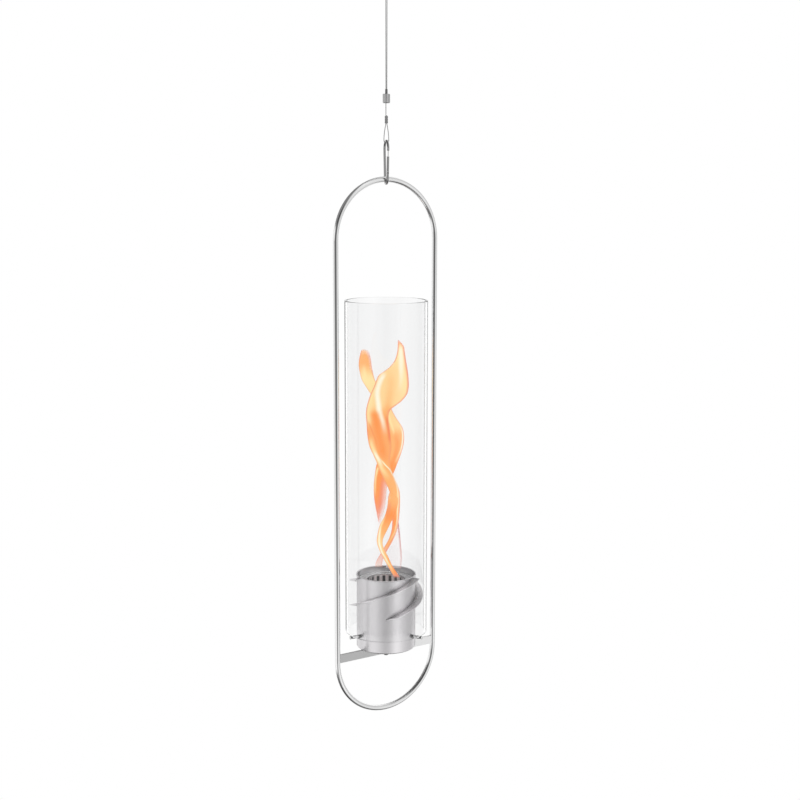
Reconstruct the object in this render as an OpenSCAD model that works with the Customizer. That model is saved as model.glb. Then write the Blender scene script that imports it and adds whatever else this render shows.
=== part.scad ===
// Hanging glass fire. A wire from a ceiling hook holds a tall round-rod frame, and a flat bar across the
// frame carries a steel burner with three helical air vanes inside an open glass tube.
// Lengths are in millimetres, +Z points up, and the origin is the middle of the face that meets the ceiling.

/* [Hanging height] */
// From the ceiling down to the top of the frame
hang_len = 280; // [240:1:600]

/* [Frame] */
// Height of the frame
frame_h = 790; // [700:5:1000]
// Width of the frame over the rod
frame_w = 177; // [165:1:220]
// Diameter of the frame's rod
rod_d = 8; // [6:0.5:10]

/* [Crossbar] */
// From the frame's lowest point up to the bar's underside
bar_rise = 88; // [84:1:150]
// Height of the bar, which stands on edge
bar_h = 12; // [10:1:20]
// Thickness of the bar
bar_t = 4; // [3:0.5:6]
// Diameter of the screw boss in the middle of the bar
boss_d = 14; // [12:0.5:20]

/* [Mounting screw] */
// Thread diameter of the screw that holds the burner
screw_d = 5; // [4:0.5:6]
// Diameter of the button head
screw_head_d = 9.5; // [8:0.5:12]
// Height of the button head
screw_head_h = 2.75; // [2:0.25:4]
// Width of the head's hexagon socket over its flats
socket_af = 3; // [2:0.5:4]
// Outer diameter of the washer under the head
washer_d = 10; // [9:0.5:14]
// Thickness of the washer
washer_t = 1; // [0.5:0.1:1.5]
// Width of the nut over its flats
nut_af = 8; // [7:0.5:10]
// Height of the nut
nut_h = 4; // [3:0.25:4.5]

/* [Burner shell] */
// Outer diameter of the shell
shell_d = 87; // [76:1:92]
// Height of the shell
shell_h = 111; // [95:1:150]
// Wall thickness of the shell
shell_wall = 1; // [0.8:0.1:1.5]
// Radius of the corner between wall and floor
shell_corner_r = 2; // [1.6:0.1:4]
// Diameter of the rolled bead along the rim
rim_bead_d = 1.8; // [1.6:0.1:2.6]

/* [Air vanes] */
// Height that a vane would climb in one full turn
vane_lead = 114; // [80:1:140]
// Angle that each vane spans
vane_turn = 180; // [120:1:200]
// Angle over which a vane grows from the wall to its full width
vane_taper = 26; // [10:1:60]
// Direction in which the first vane starts
vane_first_angle = -123.4; // [-180:0.1:180]
// Gap between the vanes and the glass
vane_gap = 2.3; // [1:0.1:5]
// Thickness of a vane
vane_t = 1.9; // [0.8:0.1:3]

/* [Glass] */
// Outer diameter of the glass tube
glass_d = 120; // [114:1:130]
// Length of the glass tube
glass_h = 491; // [400:1:560]
// Wall thickness of the glass
glass_wall = 3; // [2:0.1:4.5]

/* [Glass pins] */
// Diameter of the three pins that the glass stands on
pin_d = 5; // [4:0.1:7]
// From the shell's underside up to the middle of the pins
pin_rise = 21.3; // [12:0.1:35]
// How far a pin reaches past the outside of the glass
pin_past = 1.2; // [0.5:0.1:4]
// Depth of the groove that keeps the glass in place
groove_depth = 0.5; // [0.2:0.1:0.8]

/* [Fuel can] */
// Gap between the can and the shell's wall
can_gap = 0.7; // [0.4:0.1:2]
// Wall thickness of the can
can_wall = 0.6; // [0.4:0.1:1.2]
// From the can's foot up to its floor
can_foot_h = 8; // [6.5:0.5:12]
// From the shell's rim down to the top of the lid
lid_drop = 9.5; // [6:0.5:20]
// Thickness of the lid
lid_t = 0.8; // [0.6:0.1:1.5]
// Diameter of the lid's mouth
mouth_d = 58; // [44:1:64]
// Diameter of the rolled lip and of the seam
lip_d = 1.6; // [1.2:0.1:2.2]

/* [Burner crown] */
// Height of the slotted crown under the mouth
crown_h = 32; // [24:1:44]
// Wall thickness of the crown
crown_wall = 1.2; // [0.8:0.1:2]
// Number of slots
slot_count = 20; // [12:1:24]
// Width of a slot
slot_w = 4.6; // [3:0.1:6]
// Height of a slot
slot_h = 24; // [12:1:36]
// Band left above the slots
crown_band = 1.5; // [1:0.1:4]
// Height of the absorbent pad
pad_h = 42; // [20:1:48]

/* [Snap hook] */
// Length of the snap hook
hook_len = 63; // [54:1:90]
// Diameter of the hook's round bar
hook_bar_d = 3.5; // [3:0.1:4.5]
// Width of the hook at its wider upper end
hook_top_w = 25.5; // [21:0.5:32]
// Width of the hook at its narrower lower end
hook_bottom_w = 19.5; // [17.5:0.5:21]
// Length of the open stretch that the latch blade crosses
latch_open = 8; // [4:0.5:12]
// Angle of the hook and gripper about the vertical
hanger_turn = 20; // [-30:1:30]

/* [Wire] */
// Diameter of the steel wire rope
wire_d = 1.2; // [1:0.1:1.5]
// Width of the eye round the snap hook, between strand middles
eye_w = 7; // [6.6:0.1:10]
// From the eye's lowest point up to the ferrule
eye_len = 27; // [18:1:40]
// Length of the ferrule
ferrule_len = 10; // [6:0.5:16]
// Length of single wire between ferrule and gripper
single_len = 18; // [6:1:60]

/* [Gripper] */
// Diameter of the gripper's barrel
gripper_d = 10.5; // [10:0.5:14]
// Length of the barrel
gripper_len = 12.5; // [12:0.5:18]
// How far the release plunger stands out of the barrel
plunger_out = 6.5; // [3:0.5:10]

/* [Ceiling fitting] */
// Diameter of the ceiling plate
plate_d = 46; // [42:1:60]
// Thickness of the ceiling plate
plate_t = 3; // [2.5:0.1:5]
// Distance between the two screw holes
plate_hole_pitch = 32; // [28:1:34]
// Diameter of the screw holes
plate_hole_d = 4.5; // [3:0.1:5]
// Diameter of the ceiling hook's rod
chook_rod_d = 4; // [3:0.1:5]
// Inside width of the ceiling hook
chook_inside = 14; // [12:1:24]
// Straight neck between plate and hook
chook_neck = 8; // [4:1:20]
// Angle of the ceiling hook about the vertical, from the snap hook's
chook_turn = -30; // [-60:1:60]

/* [Hidden] */
$fn = 64;
// Overrun of every cut past the face that it opens
over = 1;
// Gap between two pieces that rest on each other and can part
rest_gap = 0.3;
// Gap between two pieces that are welded or screwed together
fit_gap = 0.05;
// Where a straight bar runs into a bend it is thinner by twice the step and reaches a little way in
join_step = 0.03;
join_len = 0.3;

// Frame, from the ceiling down
rod_r = rod_d / 2;
frame_top = -hang_len;
frame_base = frame_top - frame_h;
bend_r = frame_w / 2 - rod_r;
upper_bend_z = frame_top - frame_w / 2;
lower_bend_z = frame_base + frame_w / 2;

// Crossbar, screw and burner shell
bar_z = frame_base + bar_rise;
shell_z = bar_z + bar_h;
shell_r = shell_d / 2;
shell_inner_r = shell_r - shell_wall;
shell_top = shell_z + shell_h;
bead_r = rim_bead_d / 2;
screw_past = 1;
screw_bore_d = screw_d + 6 * fit_gap;
hex_share = 1 / cos(30);
half_bar_z = bar_z + bar_h / 2;
bend_depth = max(0, lower_bend_z - half_bar_z);
rail_x = sqrt(bend_r * bend_r - bend_depth * bend_depth);

// Glass, its pins and the vanes between glass and shell
glass_r = glass_d / 2;
glass_inner_r = glass_r - glass_wall;
pin_r = pin_d / 2;
pin_z = shell_z + pin_rise;
pin_count = 3;
pin_first_angle = vane_first_angle - 180 / pin_count;
pin_pitch_angle = 360 / pin_count;
pin_tip = glass_r + pin_past;
pin_end_chamfer = 0.5;
glass_z = pin_z + pin_r - groove_depth + rest_gap;
glass_edge_r = 0.8;
vane_count = 3;
vane_pitch_angle = 360 / vane_count;
vane_outer_r = glass_inner_r - vane_gap;
vane_inner_r = shell_r + fit_gap;
vane_top = shell_top - rest_gap - vane_t;
vane_clear_r = shell_inner_r + rim_bead_d + fit_gap;
vane_bottom = vane_top - vane_lead * vane_turn / 360;
vane_steps = 44;
vane_least_share = 0.06;
vane_edge_share = 0.7;

// Fuel can, lid, crown and pad
can_r = shell_inner_r - can_gap;
can_z = shell_z + shell_wall + rest_gap;
lid_top = shell_top - lid_drop;
can_h = lid_top - lid_t - can_z;
mouth_r = mouth_d / 2;
lip_r = lip_d / 2;
crown_inner_r = mouth_r + crown_wall / 6;
crown_r = crown_inner_r + crown_wall;
crown_z = lid_top - lid_t - crown_h;
can_floor_z = can_z + can_foot_h;
pad_inset = 0.5;

// Snap hook, in its own plane: upper and lower bend and the straight lines that touch both
hook_bar_r = hook_bar_d / 2;
hook_bottom = frame_top - rod_d - rest_gap - hook_bar_d;
hook_top = hook_bottom + hook_len;
hook_top_r = hook_top_w / 2 - hook_bar_r;
hook_bottom_r = hook_bottom_w / 2 - hook_bar_r;
hook_top_z = hook_top - hook_top_w / 2;
hook_bottom_z = hook_bottom + hook_bottom_w / 2;
hook_rise = hook_top_z - hook_bottom_z;
hook_lean = asin((hook_top_r - hook_bottom_r) / hook_rise);
hook_line = hook_rise * cos(hook_lean);
nose_len = 2;
nose_slot_depth = 2.6;
latch_t = 0.8;
latch_w = 2.4;
latch_top_gap = 0.4;
hinge_at = 7;
hinge_pin_d = 1.4;
tongue_t = 1.1;
tongue_w = 3;
fork_gap = 0.2;
fork_depth = 2.4;
stub_len = hinge_at - hook_bar_r - rest_gap;
gate_top = hook_line - nose_len - latch_open;
gate_bore_d = 2.2;
gate_bore_len = 9;
gate_spring_d = 1.9;
gate_spring_bar = 0.3;
gate_spring_turns = 8;

// Wire, ferrule and gripper, up from the snap hook
wire_r = wire_d / 2;
strand_gap = 0.1;
strand_x = (wire_d + strand_gap) / 2;
eye_r = eye_w / 2;
eye_bottom = hook_top - hook_bar_d - rest_gap - wire_r;
eye_z = eye_bottom + eye_r;
ferrule_z = eye_bottom + eye_len;
ferrule_wall = 1.05;
ferrule_tail = 1;
crimp_count = 2;
crimp_w = 1.4;
crimp_depth = 0.25;
gripper_z = ferrule_z + ferrule_len + single_len;
gripper_top = gripper_z + gripper_len;
wire_bore_d = wire_d + 2 * fit_gap;
gripper_chamfer = 0.5;
gripper_roof = 1.2;
plunger_bore_d = 2 * wire_d + 3 * strand_gap;
plunger_wall = 0.4;
plunger_d = plunger_bore_d + 2 * plunger_wall;
flange_w = 0.5;
flange_t = 0.8;
flange_d = plunger_d + 2 * flange_w;
throat_d = flange_d + 4 * fit_gap;
cone_len = 6;
cone_spread = 0.8;
cone_d = throat_d + 2 * cone_spread;
cap_t = 2;
cap_ledge = 0.7;
cap_d = cone_d + 2 * cap_ledge;
cone_top = gripper_top - gripper_roof - flange_t - 2 * fit_gap;
jaw_top = cone_top;
jaw_bottom = cone_top - cone_len + rest_gap;
jaw_split = 0.4;
spring_room_top = cone_top - cone_len;
cap_top = gripper_z + cap_t;
gripper_spring_bar = 0.35;
gripper_spring_turns = 2.5;
gripper_spring_d = cone_d - 4 * gripper_spring_bar;
wire_tail_up = 0.8;

// Ceiling hook: a short neck bend leads into the large bend, whose lowest point lies under the plate's middle
chook_rod_r = chook_rod_d / 2;
chook_r = chook_inside / 2 + chook_rod_r;
neck_bend_r = 4;
neck_bend_angle = acos(neck_bend_r / (neck_bend_r + chook_r));
neck_overlap = 4;
chook_z = -plate_t - chook_neck - (neck_bend_r + chook_r) * sin(neck_bend_angle);
chook_seat_z = chook_z - chook_r;
chook_tip_angle = 160;
rivet_d = 7;
rivet_t = 1.2;
countersink_d = 2 * plate_hole_d;
countersink_t = plate_t / 2;
plate_edge_r = 0.8;

// The wire's route, in the snap hook's turned frame. Each point is a place and the direction of the plane
// that the wire bends in there.
seat_r = chook_rod_r + rest_gap + wire_r;
route_ring_gap = 7;
route_sides = 8;
eye_steps = 8;
seat_steps = 8;
side_steps = 6;
wire_end_z = ferrule_z + ferrule_len + ferrule_tail;
free_end_z = cap_top + wire_tail_up;
guide_top = gripper_top + plunger_out;
twist = chook_turn + 90;

function side_x(s) = strand_x + (eye_r - strand_x) * sin(90 * s);
function straight_count(a, b) = max(1, round(norm(b - a) / route_ring_gap));
function along(a, b, t1, t2) = [
    for (i = [1 : straight_count(a, b)])
        let (s = i / straight_count(a, b))
            [each a + (b - a) * s, t1 + (t2 - t1) * s]
];
function seat_point(side_angle) = [
    seat_r * cos(side_angle) * cos(twist),
    seat_r * cos(side_angle) * sin(twist),
    chook_seat_z + seat_r * sin(side_angle)
];
guide_left = [-strand_x, 0, guide_top];
guide_right = [strand_x, 0, guide_top];

// From the wire's crimped end down one side of the eye, round the snap hook and up the other side
eye_route = concat(
    [[strand_x, 0, wire_end_z, 0]],
    [[strand_x, 0, ferrule_z + ferrule_len / 2, 0]],
    [for (i = [0 : side_steps - 1]) [side_x(i / side_steps), 0, ferrule_z + (eye_z - ferrule_z) * i / side_steps, 0]],
    [for (i = [0 : eye_steps]) [eye_r * cos(180 * i / eye_steps), 0, eye_z - eye_r * sin(180 * i / eye_steps), 0]],
    [for (i = [1 : side_steps]) [-side_x(1 - i / side_steps), 0, eye_z + (ferrule_z - eye_z) * i / side_steps, 0]]
);
// Up through the gripper to the ceiling hook, over its rod and back down into the gripper
upper_route = concat(
    along([-strand_x, 0, ferrule_z], guide_left, 0, 0),
    along(guide_left, seat_point(180), 0, twist),
    [for (i = [1 : seat_steps]) [each seat_point(180 - 180 * i / seat_steps), twist]],
    along(seat_point(0), guide_right, twist, 0),
    along(guide_right, [strand_x, 0, free_end_z], 0, 0)
);
wire_route = concat(eye_route, upper_route);

function unit(v) = v / norm(v);
function place(q) = [q.x, q.y, q.z];
function heading(route, i) =
    unit(place(route[min(i + 1, len(route) - 1)]) - place(route[max(i - 1, 0)]));
function across(q, t) =
    let (side = [-sin(q[3]), cos(q[3]), 0])
        unit(side - (side * t) * t);

// Sweeps a round section along a route of [x, y, z, direction of the bending plane] points
module tube_along(route, radius, sides) {
    rings = len(route);
    points = [
        for (i = [0 : rings - 1])
            let (t = heading(route, i), n = across(route[i], t), m = cross(t, n))
                for (k = [0 : sides - 1])
                    place(route[i]) + radius * (cos(360 * k / sides) * n + sin(360 * k / sides) * m)
    ];
    walls = [
        for (i = [0 : rings - 2])
            for (k = [0 : sides - 1])
                let (a = i * sides + k, b = i * sides + (k + 1) % sides)
                    each [[a, a + sides, b], [b, a + sides, b + sides]]
    ];
    first_end = [for (k = [0 : sides - 1]) k];
    last_end = [for (k = [sides - 1 : -1 : 0]) (rings - 1) * sides + k];
    polyhedron(points, concat(walls, [first_end, last_end]), convexity = 10);
}

// A round bar wound into a helix that climbs from z = 0
module coil(outer_d, bar_d, turns, height) {
    coil_r = (outer_d - bar_d) / 2;
    climb = height - bar_d;
    steps = ceil(turns * 10);
    sides = 6;
    points = [
        for (i = [0 : steps])
            let (a = 360 * turns * i / steps, z = bar_d / 2 + climb * i / steps)
                for (k = [0 : sides - 1])
                    let (w = coil_r + bar_d / 2 * cos(360 * k / sides))
                        [w * cos(a), w * sin(a), z + bar_d / 2 * sin(360 * k / sides)]
    ];
    walls = [
        for (i = [0 : steps - 1])
            for (k = [0 : sides - 1])
                let (a = i * sides + k, b = i * sides + (k + 1) % sides)
                    each [[a, b, a + sides], [b, b + sides, a + sides]]
    ];
    first_end = [for (k = [sides - 1 : -1 : 0]) k];
    last_end = [for (k = [0 : sides - 1]) steps * sides + k];
    polyhedron(points, concat(walls, [first_end, last_end]), convexity = 10);
}

// An arc of round bar about the Z axis
module bar_arc(bend, bar_d, from_angle, sweep) {
    rotate([0, 0, from_angle])
        rotate_extrude(angle = sweep)
            translate([bend, 0])
                circle(d = bar_d);
}

// Turns what is drawn flat in XY up into the YZ plane
module upright() {
    rotate([90, 0, 90])
        children();
}

module turn_hanger() {
    rotate([0, 0, -hanger_turn])
        children();
}

// The frame's closed loop of rod, swollen by a margin where it serves as a cutter
module frame_loop(margin) {
    bar_d = rod_d + 2 * margin;
    translate([0, 0, upper_bend_z])
        rotate([90, 0, 0])
            bar_arc(bend_r, bar_d, 0, 180);
    translate([0, 0, lower_bend_z])
        rotate([90, 0, 0])
            bar_arc(bend_r, bar_d, 180, 180);
    for (side = [-1, 1])
        translate([side * bend_r, 0, lower_bend_z])
            cylinder(h = upper_bend_z - lower_bend_z, d = bar_d);
}

module ring_frame() {
    color("silver")
        frame_loop(0);
}

module crossbar() {
    color("darkgray")
        difference() {
            union() {
                translate([-rail_x, -bar_t / 2, bar_z])
                    cube([2 * rail_x, bar_t, bar_h]);
                translate([0, 0, bar_z])
                    cylinder(h = bar_h, d = boss_d);
            }
            frame_loop(fit_gap);
            translate([0, 0, bar_z - over])
                cylinder(h = bar_h + 2 * over, d = screw_bore_d);
        }
}

module mounting_screw() {
    head_z = bar_z - washer_t;
    tip_z = shell_z + shell_wall + nut_h + screw_past;
    dome_r = (screw_head_d * screw_head_d / 4 + screw_head_h * screw_head_h) / (2 * screw_head_h);
    color("dimgray")
        difference() {
            union() {
                intersection() {
                    translate([0, 0, head_z - screw_head_h + dome_r])
                        sphere(r = dome_r);
                    translate([0, 0, head_z - screw_head_h])
                        cylinder(h = screw_head_h, d = screw_head_d);
                }
                translate([0, 0, head_z - fit_gap])
                    cylinder(h = tip_z - head_z, d = screw_d - 2 * fit_gap);
            }
            translate([0, 0, head_z - screw_head_h - over])
                cylinder(h = screw_head_h / 2 + over, d = socket_af * hex_share, $fn = 6);
        }
}

module screw_washer() {
    color("gray")
        translate([0, 0, bar_z - washer_t])
            difference() {
                cylinder(h = washer_t, d = washer_d);
                translate([0, 0, -over])
                    cylinder(h = washer_t + 2 * over, d = screw_bore_d);
            }
}

module mounting_nut() {
    color("gray")
        translate([0, 0, shell_z + shell_wall])
            difference() {
                cylinder(h = nut_h, d = nut_af * hex_share, $fn = 6);
                translate([0, 0, -over])
                    cylinder(h = nut_h + 2 * over, d = screw_d);
            }
}

// Half section of the shell: a deep cup with a rounded lower corner
module shell_section() {
    inner_corner_r = shell_corner_r - shell_wall;
    polygon(concat(
        [[0, 0]],
        [for (a = [-90 : 15 : 0]) [
            shell_r - shell_corner_r + shell_corner_r * cos(a),
            shell_corner_r + shell_corner_r * sin(a)
        ]],
        [[shell_r, shell_h - bead_r], [shell_inner_r, shell_h - bead_r]],
        [for (a = [0 : -15 : -90]) [
            shell_inner_r - inner_corner_r + inner_corner_r * cos(a),
            shell_wall + inner_corner_r + inner_corner_r * sin(a)
        ]],
        [[0, shell_wall]]
    ));
}

module burner_shell() {
    color("lightgray")
        difference() {
            translate([0, 0, shell_z]) {
                rotate_extrude()
                    shell_section();
                translate([0, 0, shell_h - bead_r])
                    bar_arc(shell_inner_r + bead_r, rim_bead_d, 0, 360);
            }
            translate([0, 0, shell_z - over])
                cylinder(h = shell_wall + 2 * over, d = screw_bore_d);
            for (i = [0 : pin_count - 1])
                rotate([0, 0, pin_first_angle + i * pin_pitch_angle])
                    translate([shell_inner_r - over, 0, pin_z])
                        rotate([0, 90, 0])
                            cylinder(h = shell_wall + 2 * over, d = pin_d + 2 * fit_gap);
        }
}

// One vane: a thin fin whose root climbs the shell and whose edge keeps clear of the glass
module air_vane(number) {
    function grown_share(s) = vane_least_share + (1 - vane_least_share) * sin(90 * min(1, s * vane_turn / vane_taper));
    points = [
        for (i = [0 : vane_steps])
            let (
                s = i / vane_steps,
                a = vane_first_angle + number * vane_pitch_angle + vane_turn * s,
                z = vane_bottom + (vane_top - vane_bottom) * s,
                root_r = z + 2 * vane_t > shell_top - rim_bead_d ? vane_clear_r : vane_inner_r,
                r = vane_inner_r + (vane_outer_r - vane_inner_r) * grown_share(s),
                drop = vane_t * (1 - vane_edge_share) / 2
            )
                each [
                    [root_r * cos(a), root_r * sin(a), z],
                    [r * cos(a), r * sin(a), z + drop],
                    [r * cos(a), r * sin(a), z + vane_t - drop],
                    [root_r * cos(a), root_r * sin(a), z + vane_t]
                ]
    ];
    walls = [
        for (i = [0 : vane_steps - 1])
            for (k = [0 : 3])
                let (a = 4 * i + k, b = 4 * i + (k + 1) % 4)
                    each [[a, a + 4, b], [b, a + 4, b + 4]]
    ];
    last = 4 * vane_steps;
    color("lightgray")
        polyhedron(points, concat(walls, [[0, 1, 2, 3], [last + 3, last + 2, last + 1, last]]), convexity = 6);
}

module glass_pin(number) {
    root = shell_inner_r;
    shaft_len = pin_tip - root - pin_end_chamfer;
    color("gainsboro")
        rotate([0, 0, pin_first_angle + number * pin_pitch_angle])
            translate([0, 0, pin_z])
                rotate([0, 90, 0])
                    difference() {
                        union() {
                            translate([0, 0, root])
                                cylinder(h = shaft_len, d = pin_d);
                            translate([0, 0, root + shaft_len])
                                cylinder(h = pin_end_chamfer, d1 = pin_d, d2 = pin_d - 2 * pin_end_chamfer);
                        }
                        translate([0, 0, glass_inner_r - rest_gap])
                            difference() {
                                cylinder(h = glass_wall + 2 * rest_gap, d = pin_d + 2 * over);
                                translate([0, 0, -over])
                                    cylinder(h = glass_wall + 2 * rest_gap + 2 * over, d = pin_d - 2 * groove_depth);
                            }
                    }
}

module glass_cylinder() {
    edge = glass_edge_r;
    color("azure", 0.35)
        translate([0, 0, glass_z])
            rotate_extrude()
                polygon([
                    [glass_inner_r + edge, 0],
                    [glass_r - edge, 0],
                    [glass_r, edge],
                    [glass_r, glass_h - edge],
                    [glass_r - edge, glass_h],
                    [glass_inner_r + edge, glass_h],
                    [glass_inner_r, glass_h - edge],
                    [glass_inner_r, edge]
                ]);
}

module fuel_can() {
    color("silver")
        translate([0, 0, can_z])
            difference() {
                cylinder(h = can_h, r = can_r);
                translate([0, 0, can_foot_h + can_wall])
                    cylinder(h = can_h, r = can_r - can_wall);
                translate([0, 0, -over])
                    cylinder(h = can_foot_h + over, r = can_r - can_wall);
            }
}

module can_lid() {
    color("silver")
        union() {
            translate([0, 0, lid_top - lid_t])
                difference() {
                    cylinder(h = lid_t, r = can_r);
                    translate([0, 0, -over])
                        cylinder(h = lid_t + 2 * over, r = mouth_r);
                }
            translate([0, 0, lid_top])
                bar_arc(can_r - lip_r, lip_d, 0, 360);
            translate([0, 0, lid_top])
                bar_arc(mouth_r + lip_r, lip_d, 0, 360);
        }
}

module slotted_crown() {
    slot_z = crown_h - crown_band - min(slot_h, crown_h - 2 * crown_band);
    color("gainsboro")
        translate([0, 0, crown_z])
            difference() {
                cylinder(h = crown_h, r = crown_r);
                translate([0, 0, -over])
                    cylinder(h = crown_h + 2 * over, r = crown_inner_r);
                for (i = [0 : slot_count - 1])
                    rotate([0, 0, 360 * (i + 1 / 2) / slot_count])
                        translate([crown_inner_r - over, -slot_w / 2, slot_z])
                            cube([crown_wall + 2 * over, slot_w, crown_h - crown_band - slot_z]);
            }
}

module absorbent_pad() {
    color("ivory")
        translate([0, 0, can_floor_z + can_wall + rest_gap])
            cylinder(h = pad_h, r = can_r - can_wall - pad_inset);
}

// Draws along the snap hook's gate side: Y runs up the line, X points in towards the hook's middle
module on_gate_line() {
    turn_hanger()
        upright()
            rotate([0, 180, 0])
                translate([hook_bottom_r * cos(hook_lean), hook_bottom_z - hook_bottom_r * sin(hook_lean), 0])
                    rotate([0, 0, -hook_lean])
                        mirror([1, 0, 0])
                            children();
}

module along_y(h, d) {
    rotate([-90, 0, 0])
        cylinder(h = h, d = d);
}

module snap_hook_body() {
    color("gainsboro")
        difference() {
            union() {
                turn_hanger()
                    upright() {
                        translate([0, hook_top_z, 0])
                            bar_arc(hook_top_r, hook_bar_d, -hook_lean, 180 + 2 * hook_lean);
                        translate([0, hook_bottom_z, 0])
                            bar_arc(hook_bottom_r, hook_bar_d, 180 + hook_lean, 180 - 2 * hook_lean);
                        translate([
                            hook_bottom_r * cos(hook_lean),
                            hook_bottom_z - hook_bottom_r * sin(hook_lean),
                            0
                        ])
                            rotate([0, 0, -hook_lean])
                                translate([0, -join_len, 0])
                                    along_y(hook_line + 2 * join_len, hook_bar_d - 2 * join_step);
                    }
                on_gate_line() {
                    translate([0, -join_len, 0])
                        along_y(stub_len + join_len, hook_bar_d - 2 * join_step);
                    translate([0, hook_line - nose_len, 0])
                        along_y(nose_len + join_len, hook_bar_d - 2 * join_step);
                    translate([-tongue_w / 2, stub_len / 2, -tongue_t / 2])
                        cube([tongue_w, hinge_at - stub_len / 2, tongue_t]);
                    translate([0, hinge_at, -tongue_t / 2])
                        cylinder(h = tongue_t, d = tongue_w);
                }
            }
            on_gate_line() {
                translate([-hook_bar_d, hook_line - nose_len - over, -latch_t / 2 - fork_gap])
                    cube([2 * hook_bar_d, nose_slot_depth + over, latch_t + 2 * fork_gap]);
                translate([0, hinge_at, -hook_bar_d])
                    cylinder(h = 2 * hook_bar_d, d = hinge_pin_d + 2 * fit_gap);
            }
        }
}

module snap_hook_gate() {
    color("silver")
        on_gate_line()
            difference() {
                union() {
                    translate([0, hinge_at, 0])
                        along_y(gate_top - hinge_at, hook_bar_d);
                    intersection() {
                        translate([0, hinge_at - hook_bar_r, 0])
                            along_y(hook_bar_d, hook_bar_d);
                        translate([0, hinge_at, -hook_bar_d])
                            cylinder(h = 2 * hook_bar_d, d = hook_bar_d);
                    }
                    translate([-latch_w / 2, gate_top - over, -latch_t / 2])
                        cube([latch_w, latch_open + nose_slot_depth - latch_top_gap + over, latch_t]);
                }
                translate([-hook_bar_d, hinge_at - hook_bar_d, -tongue_t / 2 - fork_gap])
                    cube([2 * hook_bar_d, hook_bar_d + fork_depth, tongue_t + 2 * fork_gap]);
                translate([0, hinge_at, -hook_bar_d])
                    cylinder(h = 2 * hook_bar_d, d = hinge_pin_d + 2 * fit_gap);
                translate([0, hinge_at + fork_depth - over, 0])
                    along_y(gate_bore_len + over, gate_bore_d);
            }
}

module gate_pin() {
    color("dimgray")
        on_gate_line()
            translate([0, hinge_at, -hook_bar_r])
                cylinder(h = hook_bar_d, d = hinge_pin_d);
}

module gate_spring() {
    color("gray")
        on_gate_line()
            translate([0, hinge_at + fork_depth + rest_gap, 0])
                rotate([-90, 0, 0])
                    coil(gate_spring_d, gate_spring_bar, gate_spring_turns, gate_bore_len - 2 * rest_gap);
}

module wire_rope() {
    color("gray")
        turn_hanger()
            tube_along(wire_route, wire_r, route_sides);
}

// Section of the two strands side by side, with a margin round them
module strand_pair(margin, h) {
    d = wire_d + 2 * margin;
    for (side = [-1, 1])
        translate([side * strand_x, 0, 0])
            cylinder(h = h, d = d);
    translate([-strand_x, join_step - d / 2, 0])
        cube([2 * strand_x, d - 2 * join_step, h]);
}

module loop_ferrule() {
    color("gray")
        turn_hanger()
            translate([0, 0, ferrule_z])
                difference() {
                    strand_pair(ferrule_wall, ferrule_len);
                    for (i = [1 : crimp_count])
                        translate([0, 0, ferrule_len * i / (crimp_count + 1) - crimp_w / 2])
                            difference() {
                                strand_pair(ferrule_wall + over, crimp_w);
                                translate([0, 0, -over])
                                    strand_pair(ferrule_wall - crimp_depth, crimp_w + 2 * over);
                            }
                    translate([0, 0, -over])
                        strand_pair(fit_gap, ferrule_len + 2 * over);
                }
}

module gripper_body() {
    color("gray")
        turn_hanger()
            difference() {
                union() {
                    translate([0, 0, gripper_z])
                        cylinder(h = gripper_chamfer, d1 = gripper_d - 2 * gripper_chamfer, d2 = gripper_d);
                    translate([0, 0, gripper_z + gripper_chamfer])
                        cylinder(h = gripper_len - 2 * gripper_chamfer, d = gripper_d);
                    translate([0, 0, gripper_top - gripper_chamfer])
                        cylinder(h = gripper_chamfer, d1 = gripper_d, d2 = gripper_d - 2 * gripper_chamfer);
                }
                translate([0, 0, gripper_top - gripper_roof - over])
                    cylinder(h = gripper_roof + 2 * over, d = plunger_d + 2 * fit_gap);
                translate([0, 0, cone_top])
                    cylinder(h = gripper_top - gripper_roof - cone_top, d = throat_d);
                translate([0, 0, spring_room_top])
                    cylinder(h = cone_len, d1 = cone_d, d2 = throat_d);
                translate([0, 0, gripper_z - over])
                    cylinder(h = spring_room_top - gripper_z + over, d = cone_d);
                translate([0, 0, gripper_z - over])
                    cylinder(h = cap_t + over, d = cap_d + 2 * fit_gap);
            }
}

module gripper_end_cap() {
    color("dimgray")
        turn_hanger()
            translate([0, 0, gripper_z])
                difference() {
                    cylinder(h = cap_t - fit_gap, d = cap_d);
                    translate([-strand_x, 0, -over])
                        cylinder(h = cap_t + 2 * over, d = wire_bore_d);
                }
}

module gripper_spring() {
    color("gray")
        turn_hanger()
            translate([0, 0, cap_top + fit_gap])
                coil(gripper_spring_d, gripper_spring_bar, gripper_spring_turns, jaw_bottom - cap_top - 3 * fit_gap);
}

module gripper_plunger() {
    color("black")
        turn_hanger()
            difference() {
                union() {
                    translate([0, 0, jaw_top + fit_gap])
                        cylinder(h = flange_t, d = flange_d);
                    translate([0, 0, jaw_top + fit_gap])
                        cylinder(h = guide_top - jaw_top - fit_gap, d = plunger_d);
                }
                translate([0, 0, jaw_top - over])
                    cylinder(h = guide_top - jaw_top + 2 * over, d = plunger_bore_d);
            }
}

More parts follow.
